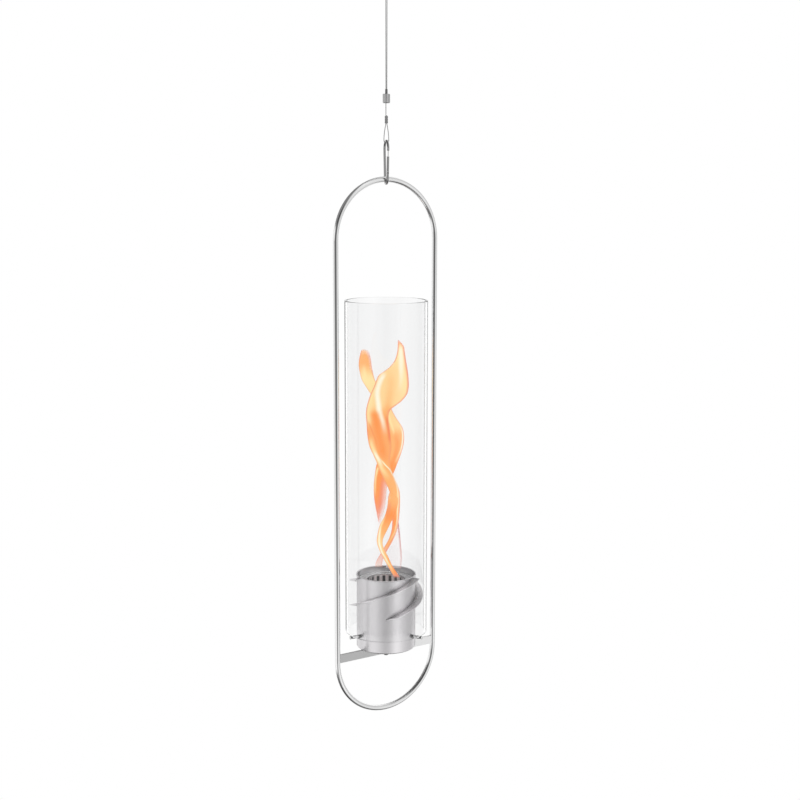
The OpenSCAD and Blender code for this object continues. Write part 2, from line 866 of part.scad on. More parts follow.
module gripper_jaws() {
    jaw_h = jaw_top - jaw_bottom;
    jaw_top_d = throat_d - 4 * fit_gap;
    jaw_bottom_d = jaw_top_d + 2 * cone_spread * jaw_h / cone_len;
    color("dimgray")
        turn_hanger()
            translate([0, 0, jaw_bottom])
                difference() {
                    cylinder(h = jaw_h, d1 = jaw_bottom_d, d2 = jaw_top_d);
                    for (side = [-1, 1])
                        translate([side * strand_x, 0, -over])
                            cylinder(h = jaw_h + 2 * over, d = wire_bore_d);
                    translate([-cone_d, -jaw_split / 2, -over])
                        cube([2 * cone_d, jaw_split, jaw_h + 2 * over]);
                }
}

module ceiling_plate() {
    color("silver")
        difference() {
            union() {
                translate([0, 0, -plate_t + plate_edge_r])
                    cylinder(h = plate_t - plate_edge_r, d = plate_d);
                translate([0, 0, -plate_t])
                    cylinder(h = plate_edge_r, d1 = plate_d - 2 * plate_edge_r, d2 = plate_d);
            }
            translate([0, 0, -plate_t - over])
                cylinder(h = plate_t + 2 * over, d = chook_rod_d + 2 * fit_gap);
            translate([0, 0, -rivet_t])
                cylinder(h = rivet_t + over, d = rivet_d + 2 * fit_gap);
            for (side = [-1, 1])
                translate([side * plate_hole_pitch / 2, 0, -plate_t]) {
                    translate([0, 0, -over])
                        cylinder(h = plate_t + 2 * over, d = plate_hole_d);
                    cylinder(h = countersink_t, d1 = countersink_d, d2 = plate_hole_d);
                }
        }
}

module ceiling_hook() {
    neck_end = -plate_t - chook_neck;
    color("silver")
        turn_hanger()
            rotate([0, 0, chook_turn]) {
                translate([0, 0, neck_end - join_len])
                    cylinder(h = chook_neck + plate_t + join_len - 2 * fit_gap, d = chook_rod_d - 4 * join_step);
                translate([0, 0, -rivet_t + fit_gap])
                    cylinder(h = rivet_t - 3 * fit_gap, d = rivet_d);
                rotate([90, 0, 0]) {
                    translate([neck_bend_r, neck_end, 0])
                        bar_arc(neck_bend_r, chook_rod_d - 2 * join_step, 180, neck_bend_angle + neck_overlap);
                    translate([0, chook_z, 0])
                        bar_arc(chook_r, chook_rod_d, -180 - (180 - chook_tip_angle), neck_bend_angle + 360 - chook_tip_angle);
                    translate([chook_r * cos(chook_tip_angle), chook_z + chook_r * sin(chook_tip_angle), 0])
                        sphere(d = chook_rod_d - 2 * join_step);
                }
            }
}

ceiling_plate();
ceiling_hook();
wire_rope();
loop_ferrule();
gripper_body();
gripper_end_cap();
gripper_spring();
gripper_plunger();
gripper_jaws();
snap_hook_body();
snap_hook_gate();
gate_pin();
gate_spring();
ring_frame();
crossbar();
mounting_screw();
screw_washer();
mounting_nut();
burner_shell();
air_vane(0);  // air_vane_1
air_vane(1);  // air_vane_2
air_vane(2);  // air_vane_3
glass_pin(0);  // glass_pin_1
glass_pin(1);  // glass_pin_2
glass_pin(2);  // glass_pin_3
glass_cylinder();
fuel_can();
can_lid();
slotted_crown();
absorbent_pad();
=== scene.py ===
import math

import bpy
from mathutils import Matrix, Vector


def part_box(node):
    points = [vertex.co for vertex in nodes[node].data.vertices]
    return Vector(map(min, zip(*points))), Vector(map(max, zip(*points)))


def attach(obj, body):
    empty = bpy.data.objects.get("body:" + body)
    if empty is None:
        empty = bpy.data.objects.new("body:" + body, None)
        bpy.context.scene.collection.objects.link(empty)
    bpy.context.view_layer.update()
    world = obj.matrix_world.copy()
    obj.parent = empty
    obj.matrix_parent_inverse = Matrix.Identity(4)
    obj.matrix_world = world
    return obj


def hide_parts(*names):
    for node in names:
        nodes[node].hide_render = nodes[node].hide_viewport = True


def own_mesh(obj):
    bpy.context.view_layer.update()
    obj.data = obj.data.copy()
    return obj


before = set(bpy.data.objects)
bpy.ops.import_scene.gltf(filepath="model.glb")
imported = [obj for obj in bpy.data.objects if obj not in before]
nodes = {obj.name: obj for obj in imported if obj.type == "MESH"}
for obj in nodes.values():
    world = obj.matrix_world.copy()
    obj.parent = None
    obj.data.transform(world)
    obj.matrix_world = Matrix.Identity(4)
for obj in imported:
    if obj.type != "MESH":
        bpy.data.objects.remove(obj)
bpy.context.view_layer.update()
scene = bpy.context.scene
scene.view_settings.view_transform = "Standard"

# Camera: placed from the frame's and the glass's outlines in the photograph
YAW = math.radians(33.97)
PITCH = math.radians(8.88)
ROLL = math.radians(0.123)
PHOTO_PX = 800.0
FOCAL_PX = 1408.0
SENSOR_MM = 36.0
camera_data = bpy.data.cameras.new("camera")
camera_data.sensor_width = SENSOR_MM
camera_data.lens = SENSOR_MM * FOCAL_PX / PHOTO_PX
camera_data.clip_start = 0.05
camera = bpy.data.objects.new("camera", camera_data)
camera.location = (-1.1109, -1.6847, -0.285)
levelled = Matrix.Rotation(-YAW, 3, "Z") @ Matrix.Rotation(math.radians(90) - PITCH, 3, "X")
camera.rotation_euler = (levelled @ Matrix.Rotation(ROLL, 3, "Z")).to_euler()
scene.collection.objects.link(camera)
scene.camera = camera

# The camera's own directions: level ahead and to the right, along its line of sight, and its picture's two sides
AHEAD = Vector((math.sin(YAW), math.cos(YAW), 0))
RIGHT = Vector((math.cos(YAW), -math.sin(YAW), 0))
LOOK = Vector((math.sin(YAW) * math.cos(PITCH), math.cos(YAW) * math.cos(PITCH), -math.sin(PITCH)))
LIFT = RIGHT.cross(LOOK)
SIDE = RIGHT * math.cos(ROLL) + LIFT * math.sin(ROLL)
OVER = LIFT * math.cos(ROLL) - RIGHT * math.sin(ROLL)


def at_pixel(u, v, toward=0.0):
    """The point that the camera sees at (u, v), in the upright plane through the axis moved toward the camera."""
    middle = PHOTO_PX / 2
    ray = LOOK + SIDE * ((u - middle) / FOCAL_PX) + OVER * ((middle - v) / FOCAL_PX)
    t = (-toward - camera.location.dot(AHEAD)) / ray.dot(AHEAD)
    return camera.location + ray * t


# Materials

MM = 0.001
# The middle part of a noise's range, where nearly all of its values lie
NOISE_LOW, NOISE_HIGH = 0.3, 0.7
PATCH_SCALE = (14, 14, 14)
GRAIN_DEPTH = 0.2 * MM


def grey(v):
    return (v, v, v)


class Tree:
    """A node tree with short ways to add and join nodes."""

    def __init__(self, tree):
        self.tree = tree

    def add(self, kind, **values):
        n = self.tree.nodes.new(kind)
        for key, value in values.items():
            socket = key.replace("_", " ")
            if socket in n.inputs:
                n.inputs[socket].default_value = value
            else:
                setattr(n, key, value)
        return n

    def link(self, a, b):
        self.tree.links.new(a, b)

    def math(self, op, a, b=None):
        n = self.add("ShaderNodeMath", operation=op)
        for i, x in enumerate((a, b)):
            if isinstance(x, (int, float)):
                n.inputs[i].default_value = x
            elif x is not None:
                self.link(x, n.inputs[i])
        return n.outputs[0]

    def map_range(self, value, low, high, **values):
        n = self.add("ShaderNodeMapRange", From_Min=low, From_Max=high, **values)
        self.link(value, n.inputs["Value"])
        return n.outputs["Result"]

    def ramp(self, fac, stops, mode="LINEAR"):
        n = self.add("ShaderNodeValToRGB")
        n.color_ramp.interpolation = mode
        e = n.color_ramp.elements
        while len(e) > 1:
            e.remove(e[-1])
        for i, (at, colour) in enumerate(stops):
            s = e[0] if i == 0 else e.new(at)
            s.position = at
            s.color = tuple(colour) + (1.0,)
        self.link(fac, n.inputs["Fac"])
        return n.outputs["Color"]


class Nodes(Tree):
    """A material's node tree around its own shader."""

    def __init__(self, name):
        self.mat = bpy.data.materials.new(name)
        self.mat.use_nodes = True
        super().__init__(self.mat.node_tree)
        self.shader = self.tree.nodes["Principled BSDF"]
        self.out = self.tree.nodes["Material Output"]

    def set(self, **values):
        for key, value in values.items():
            self.shader.inputs[key.replace("_", " ")].default_value = value

    def noise(self, scale, size, detail):
        coord = self.add("ShaderNodeTexCoord")
        mapping = self.add("ShaderNodeMapping", Scale=scale)
        self.link(coord.outputs["Object"], mapping.inputs["Vector"])
        n = self.add("ShaderNodeTexNoise", Scale=size, Detail=detail)
        self.link(mapping.outputs["Vector"], n.inputs["Vector"])
        return n.outputs["Fac"]

    def distance(self, how, keep):
        """How far a point lies from the upright axis (LENGTH), or along the direction keep (DOT_PRODUCT)."""
        coord = self.add("ShaderNodeTexCoord")
        flat = self.add("ShaderNodeVectorMath", operation="MULTIPLY")
        flat.inputs[1].default_value = keep
        self.link(coord.outputs["Object"], flat.inputs[0])
        size = self.add("ShaderNodeVectorMath", operation=how)
        size.inputs[1].default_value = keep
        self.link(flat.outputs[0], size.inputs[0])
        return size.outputs["Value"]

    def measured(self, how, keep, stops):
        """Greys at stated distances in millimetres."""
        low, high = stops[0][0], stops[-1][0]
        share = self.map_range(self.distance(how, keep), low * MM, high * MM)
        return self.ramp(share, [((at - low) / (high - low), grey(v)) for at, v in stops])

    def darken(self, colour, by):
        n = self.add("ShaderNodeMix", data_type="RGBA", blend_type="MULTIPLY")
        n.inputs[0].default_value = 1.0
        self.link(colour, n.inputs[6])
        self.link(by, n.inputs[7])
        return n.outputs[2]

    def bump(self, height, strength, distance):
        n = self.add("ShaderNodeBump", Strength=strength, Distance=distance)
        self.link(height, n.inputs["Height"])
        self.link(n.outputs["Normal"], self.shader.inputs["Normal"])


def metal(
    name, tone, rough, rough_spread, grain, grain_size, bump, patch=0.03,
    facing=None, reach=None, along=None, metallic=1.0, cast=None, glow=None,
):
    """A metal with a fine grain and faint broad patches.

    facing: painted shade and painted reflection, greys by the slant of the surface to the view; reach and along:
    painted shade, greys by the distance from the axis and along x, in millimetres; cast: a tint over it all; glow:
    the colour and strength of a painted glow that stands in for light falling on the part.
    """
    m = Nodes(name)
    m.set(Metallic=metallic)
    fine = m.noise(grain, grain_size, 4.0)
    broad = m.noise(PATCH_SCALE, 1.0, 3.0)
    colour = m.ramp(broad, [(NOISE_LOW, grey(tone - patch)), (NOISE_HIGH, grey(tone + patch))])
    if facing:
        weight = m.add("ShaderNodeLayerWeight")
        colour = m.darken(colour, m.ramp(weight.outputs["Facing"], [(at, grey(v)) for at, v in facing]))
    if reach:
        colour = m.darken(colour, m.measured("LENGTH", (1, 1, 0), reach))
    if along:
        colour = m.darken(colour, m.measured("DOT_PRODUCT", (1, 0, 0), along))
    if glow:
        m.set(Emission_Color=glow[:3] + (1.0,), Emission_Strength=glow[3])
    if cast:
        tint = m.add("ShaderNodeRGB")
        tint.outputs[0].default_value = cast + (1.0,)
        colour = m.darken(colour, tint.outputs[0])
    m.link(colour, m.shader.inputs["Base Color"])
    rough_range = {"To_Min": rough - rough_spread, "To_Max": rough + rough_spread}
    m.link(m.map_range(fine, NOISE_LOW, NOISE_HIGH, **rough_range), m.shader.inputs["Roughness"])
    if bump:
        m.bump(fine, bump, GRAIN_DEPTH)
    return m.mat


def dress(material, *names):
    for name in names:
        mesh = nodes[name].data
        mesh.materials.clear()
        mesh.materials.append(material)


# Metals: name, tone, roughness and its spread, grain along x, y and z, the grain's size, bump
polished = metal(
    "polished_rod", 0.88, 0.14, 0.01, (40, 40, 40), 3.0, 0.0, patch=0.008,
    # Painted reflection: the rods are darkened where they face the view, a dark line along their middle
    facing=[(0.0, 0.20), (0.03, 0.29), (0.08, 0.71), (0.16, 1.0)],
)
pin_steel = metal(
    "pin_steel", 0.78, 0.08, 0.01, (200, 200, 200), 2.0, 0.0, patch=0.01,
    # Painted shade: the pins are darkened near their roots at the shell and in a dark ring where the glass rests in
    # their notch
    reach=[(43, 0.08), (45.5, 0.2), (48, 0.95), (57.2, 1.0), (57.8, 0.12), (59.6, 0.12), (60.2, 1.0)],
)
brushed = metal(
    "brushed_bar", 0.92, 0.36, 0.02, (20, 2400, 2400), 1.0, 0.02, patch=0.01,
    # Painted shade: the bar is darkened to about 0.58 of its tone over its left part, rising to full tone towards the
    # right
    along=[(-90, 0.57), (-30, 0.59), (40, 0.98), (90, 1.0)],
)
shell_steel = metal(
    "shell_steel", 0.80, 0.33, 0.012, (30, 30, 3200), 1.0, 0.012, patch=0.006, cast=(1.0, 0.978, 0.998),
    # Painted shade: the shell is darkened where its surface turns away from the view, towards its two sides
    facing=[(0.0, 1.0), (0.4, 1.0), (0.58, 0.92), (0.8, 0.76), (1.0, 0.68)],
)
vane_steel = metal(
    "vane_steel", 0.80, 0.25, 0.015, (90, 90, 1200), 1.0, 0.012, patch=0.01, cast=(1.0, 0.972, 0.995),
    # Painted shade: the vanes are darkened near their roots, where they meet the shell
    reach=[(43, 0.34), (45.2, 0.44), (48.5, 0.82), (51.5, 1.0)],
)
can_steel = metal("can_steel", 0.74, 0.26, 0.03, (500, 500, 60), 1.0, 0.02)
crown_steel = metal(
    # Painted light and shade: a faint pinkish glow stands in for the flame's light on the crown, and it is darkened
    # where its surface turns away from the view
    "crown_steel", 0.95, 0.42, 0.03, (400, 400, 60), 1.0, 0.02, metallic=0.2, glow=(1.0, 0.88, 0.94, 0.09),
    facing=[(0.0, 1.0), (0.2, 1.0), (0.3, 0.7), (0.4, 0.3), (0.55, 0.05), (1.0, 0.02)],
)
can_shade = metal(
    # Painted shade: the can is near black inside, within 41.4 mm of the axis, where its inside lies in shade behind
    # the crown's slots
    "can_with_painted_shade", 0.62, 0.4, 0.05, (300, 300, 60), 1.0, 0.02,
    reach=[(41.0, 0.14), (41.4, 0.16), (41.55, 1.0), (42.0, 1.0)],
)
screw_steel = metal("screw_steel", 0.36, 0.32, 0.04, (300, 300, 300), 2.0, 0.03)
hook_steel = metal("hook_steel", 0.31, 0.14, 0.01, (300, 300, 80), 2.0, 0.01)
fitting_steel = metal("fitting_steel", 0.66, 0.28, 0.03, (40, 1600, 1600), 1.0, 0.012)
gripper_steel = metal("gripper_steel", 0.46, 0.28, 0.04, (60, 60, 2600), 1.0, 0.05)
dark_steel = metal("dark_steel", 0.16, 0.35, 0.06, (300, 300, 300), 2.0, 0.06)
ferrule_metal = metal("ferrule_metal", 0.26, 0.38, 0.06, (500, 500, 300), 2.0, 0.10)
wire_steel = metal("wire_steel", 0.36, 0.34, 0.05, (900, 900, 900), 2.0, 0.05)
spring_steel = metal("spring_steel", 0.55, 0.25, 0.04, (500, 500, 500), 2.0, 0.04)

dress(polished, "ring_frame")
dress(pin_steel, "glass_pin_1", "glass_pin_2", "glass_pin_3")
dress(brushed, "crossbar")
dress(shell_steel, "burner_shell")
dress(vane_steel, "air_vane_1", "air_vane_2", "air_vane_3")
dress(can_steel, "can_lid")
dress(can_shade, "fuel_can")
dress(crown_steel, "slotted_crown")
dress(screw_steel, "mounting_screw", "screw_washer", "mounting_nut")
dress(hook_steel, "snap_hook_body", "snap_hook_gate", "gate_pin")
dress(fitting_steel, "ceiling_plate", "ceiling_hook")
dress(gripper_steel, "gripper_body")
dress(dark_steel, "gripper_end_cap", "gripper_plunger", "gripper_jaws")
dress(ferrule_metal, "loop_ferrule")
dress(spring_steel, "gripper_spring", "gate_spring")

pad = Nodes("absorbent_fibre")
pad.set(Roughness=0.95)
fibre = pad.noise((260, 260, 90), 3.0, 6.0)
fibre_tones = [(NOISE_LOW, (0.42, 0.38, 0.32)), (NOISE_HIGH, (0.66, 0.62, 0.55))]
pad.link(pad.ramp(fibre, fibre_tones), pad.shader.inputs["Base Color"])
pad.bump(fibre, 0.6, 0.6 * MM)
dress(pad.mat, "absorbent_pad")

glass = Nodes("clear_glass")
glass.set(Base_Color=(0.966, 0.967, 0.968, 1), Roughness=0.0, IOR=1.47, Transmission_Weight=1.0)


# Mesh helpers


def new_piece(name, verts, faces, material, body):
    mesh = bpy.data.meshes.new(name)
    mesh.from_pydata([tuple(v) for v in verts], [], faces)
    mesh.validate()
    mesh.polygons.foreach_set("use_smooth", [True] * len(mesh.polygons))
    mesh.materials.append(material)
    piece = bpy.data.objects.new(name, mesh)
    scene.collection.objects.link(piece)
    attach(piece, body)
    return piece


def lathe(name, profile, steps, material, body):
    """A closed profile of (radius, z) points turned about the axis."""
    n = len(profile)
    verts = []
    for i in range(steps):
        a = 2 * math.pi * i / steps
        verts += [(r * math.cos(a), r * math.sin(a), z) for r, z in profile]
    faces = []
    for i in range(steps):
        for k in range(n):
            a, b = i * n + k, i * n + (k + 1) % n
            c, d = ((i + 1) % steps) * n + (k + 1) % n, ((i + 1) % steps) * n + k
            faces.append((a, d, c, b))
    return new_piece(name, verts, faces, material, body)


# The wire, one length: crimped end, eye round the snap hook, ferrule, gripper, over the ceiling hook and back.
# Millimetres under the ceiling, as in the solids.
FRAME_TOP, ROD_D, REST_GAP = -280.0, 8.0, 0.3
HOOK_BAR, HOOK_TALL = 3.5, 63.0
WIRE_D, STRANDS, STRAND_LAY, WIRE_SIDES = 1.2, 6, 9.0, 24
FERRULE_TALL, FERRULE_TO_GRIPPER = 10.0, 18.0
GRIPPER_TALL, PLUNGER_TALL = 12.5, 6.5
EYE_R, EYE_TALL = 3.5, 27.0
# Half the space between the two runs in ferrule and gripper
STRAND_X = 0.65
# Where the two ends stop, above the ferrule's and the gripper's foot, and where the wire leaves the ferrule
CRIMPED_END, LOOSE_END, EXIT_DROP = 11.0, 2.8, 2.0
# The wire's turn over the ceiling hook, and how far hook and gripper are turned about the vertical
SEAT_Z, SEAT_R = -32.3693, 2.9
TWIST = math.radians(60)
TURN = math.radians(-20)
SIDE_STEPS, BEND_STEPS, ROUTE_STEP = 12, 16, 0.7
# How deep the grooves between the strands are, as a share of the wire's radius
GROOVE = 0.10
hook_top = FRAME_TOP - ROD_D - REST_GAP - HOOK_BAR + HOOK_TALL
eye_bottom = hook_top - HOOK_BAR - REST_GAP - WIRE_D / 2
eye_z = eye_bottom + EYE_R
ferrule_z = eye_bottom + EYE_TALL
gripper_z = ferrule_z + FERRULE_TALL + FERRULE_TO_GRIPPER
guide_top = gripper_z + GRIPPER_TALL + PLUNGER_TALL


def side_x(s):
    """Half the eye's width at share s of the way from the ferrule down."""
    return STRAND_X + (EYE_R - STRAND_X) * math.sin(math.pi / 2 * s)


def seat_point(degrees):
    a = math.radians(degrees)
    out = SEAT_R * math.cos(a)
    return (out * math.cos(TWIST), out * math.sin(TWIST), SEAT_Z + SEAT_R * math.sin(a))


def wire_route(step):
    """The wire's middle line in metres, with a point about every step millimetres."""
    points = []

    def to(p):
        if points:
            q = points[-1]
            n = max(1, round(math.dist(p, q) / step))
            points.extend(tuple(q[j] + (p[j] - q[j]) * i / n for j in range(3)) for i in range(1, n + 1))
        else:
            points.append(p)

    to((STRAND_X, 0, ferrule_z + CRIMPED_END))
    to((STRAND_X, 0, ferrule_z))
    for i in range(1, SIDE_STEPS + 1):
        s = i / SIDE_STEPS
        to((side_x(s), 0, ferrule_z + (eye_z - ferrule_z) * s))
    for i in range(1, BEND_STEPS + 1):
        a = math.pi * i / BEND_STEPS
        to((EYE_R * math.cos(a), 0, eye_z - EYE_R * math.sin(a)))
    for i in range(1, SIDE_STEPS + 1):
        s = i / SIDE_STEPS
        to((-side_x(1 - s), 0, eye_z + (ferrule_z - eye_z) * s))
    to((-STRAND_X, 0, guide_top))
    for i in range(BEND_STEPS + 1):
        to(seat_point(180 - 180 * i / BEND_STEPS))
    to((STRAND_X, 0, guide_top))
    to((STRAND_X, 0, gripper_z + LOOSE_END))
    c, s = math.cos(TURN), math.sin(TURN)
    return [Vector(((x * c - y * s) * MM, (x * s + y * c) * MM, z * MM)) for x, y, z in points]


def rope(name, path, diameter, lobes, pitch, around, material, body):
    """A section with lobes swept along the path with a twist; without lobes, a plain round wire."""
    verts, faces = [], []
    run = 0.0
    tangent = (path[1] - path[0]).normalized()
    side = tangent.orthogonal().normalized()
    for i, p in enumerate(path):
        t = (path[min(i + 1, len(path) - 1)] - path[max(i - 1, 0)]).normalized()
        side = (side - t * side.dot(t)).normalized()
        up = t.cross(side)
        if i:
            run += (p - path[i - 1]).length
        for k in range(around):
            a = 2 * math.pi * k / around
            r = diameter / 2 * (1 - GROOVE + GROOVE * abs(math.cos(lobes / 2 * a)))
            b = a + 2 * math.pi * run / pitch
            verts.append(p + side * (r * math.cos(b)) + up * (r * math.sin(b)))
    for i in range(len(path) - 1):
        for k in range(around):
            a, b = i * around + k, i * around + (k + 1) % around
            faces.append((a, b, b + around, a + around))
    faces.append(tuple(range(around - 1, -1, -1)))
    faces.append(tuple((len(path) - 1) * around + k for k in range(around)))
    return new_piece(name, verts, faces, material, body)


route = wire_route(ROUTE_STEP)
wire = rope("steel_wire", route, WIRE_D * MM, STRANDS, STRAND_LAY * MM, WIRE_SIDES, wire_steel, "wire")
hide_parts("wire_rope")

# The gripper's spring: a coil from its solid's lower end up to its upper end, where the plunger's jaws press on it
SPRING_BAR, SPRING_TURNS, PRESS = 0.35 * MM, 2.5, 1.2 * MM
COIL_STEPS, COIL_SIDES = 100, 12
low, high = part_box("gripper_spring")
spring_h = high.z - low.z
spring_r = (high.x - low.x - SPRING_BAR) / 2
coil_path = []
for i in range(COIL_STEPS + 1):
    a = TURN + 2 * math.pi * SPRING_TURNS * i / COIL_STEPS
    z = low.z + SPRING_BAR / 2 + (spring_h - SPRING_BAR) * i / COIL_STEPS
    coil_path.append(Vector((spring_r * math.cos(a), spring_r * math.sin(a), z)))
coil = rope("gripper_coil", coil_path, SPRING_BAR, 0, 1.0, COIL_SIDES, spring_steel, "wire")
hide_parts("gripper_spring")
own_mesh(coil)

# Glass tube with fire-polished ends
low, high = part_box("glass_cylinder")
GLASS_R, GLASS_IN, GLASS_EDGE = 60 * MM, 57 * MM, 1.2 * MM
EDGE_STEPS, TUBE_STEPS = 8, 256
# Rows along the long walls; those close to the rounded ends keep the walls' normals level
WALL_SHARES = (0.004, 0.008, 0.25, 0.5, 0.75, 0.992, 0.996)
profile = []
for cx, cz, start in (
    (GLASS_R - GLASS_EDGE, low.z + GLASS_EDGE, -90),
    (GLASS_R - GLASS_EDGE, high.z - GLASS_EDGE, 0),
    (GLASS_IN + GLASS_EDGE, high.z - GLASS_EDGE, 90),
    (GLASS_IN + GLASS_EDGE, low.z + GLASS_EDGE, 180),
):
    for j in range(EDGE_STEPS + 1):
        a = math.radians(start + 90 * j / EDGE_STEPS)
        profile.append((cx + GLASS_EDGE * math.cos(a), cz + GLASS_EDGE * math.sin(a)))
    if start == -90:
        profile += [(GLASS_R, low.z + (high.z - low.z) * share) for share in WALL_SHARES]
    if start == 90:
        profile += [(GLASS_IN, high.z + (low.z - high.z) * share) for share in WALL_SHARES]
tube = lathe("glass_tube", profile, TUBE_STEPS, glass.mat, "glass")
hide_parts("glass_cylinder")

# Flame: curved tongues. Each row is v, left u and right u in the photograph's pixels, then how far the left, the
# middle and the right stand out of the plane through the axis toward the camera, in millimetres.
TONGUE_1 = [
    (340, 398.0, 398.8, 2, 3, 2), (346, 397.7, 403.7, 1, 4, 0), (352, 397.2, 404.8, 1, 5, -1),
    (360, 394.8, 406.0, 2, 7, -2), (366, 390.2, 407.0, 3, 9, -3),
    (369.5, 386.4, 407.6, 4, 11, -4), (372, 382.8, 408.0, 4, 12, -4),
    (374.5, 379.2, 408.3, 4, 14, -4),
    (378, 377.0, 408.6, 4, 15, -5), (386, 374.2, 408.9, 4, 17, -6), (394, 370.6, 407.2, 3, 17, -6),
    (401, 368.2, 401.6, 1, 16, -4), (406, 366.8, 395.0, 0, 15, -1), (410, 366.1, 390.2, -2, 13, 2),
    (415, 365.8, 388.6, -3, 12, 3), (424, 366.6, 388.5, -3, 12, 6), (432, 367.0, 390.0, -2, 13, 8),
    (440, 368.0, 391.0, 0, 14, 9), (448, 370.0, 391.5, 3, 15, 10), (455, 373.4, 390.5, 6, 16, 11),
    (462, 376.5, 390.0, 9, 17, 13), (469, 379.0, 391.0, 11, 17, 14), (478, 383.2, 394.6, 11, 15, 12),
    (488, 388.2, 398.6, 7, 11, 6), (496, 390.4, 400.0, 4, 7, 0), (508, 391.4, 399.8, 0, 3, -3),
    (521, 392.3, 398.6, -4, -2, -6), (531, 391.3, 396.6, -8, -6, -10), (540, 388.2, 393.0, -11, -9, -12),
    (549, 383.0, 388.0, -12, -11, -13), (556, 379.0, 384.2, -12, -11, -13), (562, 375.8, 382.6, -12, -11, -13),
    (567, 375.2, 382.4, -12, -11, -12),
]
TONGUE_2 = [
    (348.2, 363.6, 364.4, -4, -4, -4), (351, 361.0, 368.4, -6, -3, -6), (358, 359.2, 370.7, -8, -3, -6),
    (365, 358.6, 371.6, -9, -4, -6), (372, 359.6, 372.8, -9, -5, -7), (380, 361.8, 375.0, -9, -7, -8),
    (388, 366.8, 380.0, -9, -10, -10), (398, 373.0, 388.0, -10, -14, -12), (409, 379.0, 391.5, -10, -16, -12),
    (418, 383.0, 396.4, -8, -14, -9), (427, 385.0, 402.2, -4, -11, -5), (434, 385.6, 404.0, 0, -8, -3),
    (443, 385.6, 403.8, 2, -8, -3), (453, 382.6, 401.2, 1, -9, -4), (463, 377.0, 397.5, -2, -10, -6),
    (471, 375.3, 394.4, -4, -11, -8), (479, 374.3, 390.4, -3, -10, -8), (487, 373.7, 387.0, -1, -7, -6),
    (499, 374.3, 386.0, 0, -4, -4), (512, 376.5, 384.0, 1, -1, -2), (524, 378.8, 380.4, 1, 0, 0),
]
TONGUE_3 = [
    (486, 391.5, 395.0, 6, 6, 4), (496, 388.4, 398.0, 7, 9, 4), (506, 387.4, 397.4, 9, 10, 5),
    (516, 384.6, 393.8, 10, 11, 7), (525, 379.8, 389.6, 10, 12, 8), (537, 377.0, 383.8, 9, 11, 9),
    (543, 377.1, 382.6, 9, 10, 9), (549, 379.0, 384.2, 8, 10, 9), (556, 382.4, 387.9, 7, 9, 7),
    (565, 387.4, 392.0, 1, 3, 1), (571, 390.8, 395.8, -7, -6, -8), (578, 394.8, 400.6, -17, -16, -18),
]
VEIL = [
    (522, 396.8, 398.6, -8, -8, -8), (532, 395.4, 399.8, -9, -12, -9), (542, 392.2, 400.7, -10, -14, -9),
    (552, 388.8, 401.6, -10, -15, -9), (560, 386.4, 401.7, -10, -15, -9), (568, 386.0, 401.0, -10, -14, -9),
]


# The flame's own sheet coordinates: across and down from this corner, and the widths that they are shares of
FLOW_U, FLOW_V, FLOW_W, FLOW_H, RIM_W = 346.0, 330.0, 80.0, 260.0, 40.0
# The photograph's scale at the axis, and a tongue's greatest thickness as a share of its width
PX_PER_MM, THICKEST = 0.68, 0.22
ROW_STEPS, ACROSS_STEPS = 4, 16


def smoothed(p0, p1, p2, p3, t):
    """The Catmull-Rom curve's point at share t of the way from p1 to p2."""
    return tuple(
        0.5 * (2 * b + (c - a) * t + (2 * a - 5 * b + 4 * c - d) * t * t + (3 * b - a - 3 * c + d) * t ** 3)
        for a, b, c, d in zip(p0, p1, p2, p3)
    )


def tongue(name, rows, thick, material):
    """A closed curved sheet, thickest in the middle, through rows that are smoothed between."""
    dense = []
    for i in range(len(rows) - 1):
        p = [rows[max(i - 1, 0)], rows[i], rows[i + 1], rows[min(i + 2, len(rows) - 1)]]
        dense += [smoothed(*p, j / ROW_STEPS) for j in range(ROW_STEPS)]
    dense.append(rows[-1])
    verts, faces, uvs, rims = [], [], [], []
    ring = 2 * ACROSS_STEPS
    for v, left, right, tl, tm, tr in dense:
        for k in range(ring):
            front = 1 if k <= ACROSS_STEPS else -1
            x = -math.cos(math.pi * (k if front > 0 else ring - k) / ACROSS_STEPS)
            u = (left + right) / 2 + (right - left) / 2 * x
            depth = tl * (x * x - x) / 2 + tm * (1 - x * x) + tr * (x * x + x) / 2
            width = (right - left) / PX_PER_MM
            depth += front * min(thick, THICKEST * width) * math.sqrt(max(0, 1 - x * x)) / 2
            verts.append(at_pixel(u, v, depth * MM))
            uvs.append(((u - FLOW_U) / FLOW_W, (v - FLOW_V) / FLOW_H))
            rims.append(((u - left) / RIM_W, (right - u) / RIM_W))
    for i in range(len(dense) - 1):
        for k in range(ring):
            a, b = i * ring + k, i * ring + (k + 1) % ring
            faces.append((a, a + ring, b + ring, b))
    faces.append(tuple(range(ring)))
    faces.append(tuple((len(dense) - 1) * ring + k for k in range(ring - 1, -1, -1)))
    piece = new_piece(name, verts, faces, material, "can")
    # The photographed metal mirrors no flame
    piece.visible_glossy = False
    for title, values in (("flow", uvs), ("rim", rims)):
        layer = piece.data.uv_layers.new(name=title)
        for loop in piece.data.loops:
            layer.data[loop.index].uv = values[loop.vertex_index]
    return piece


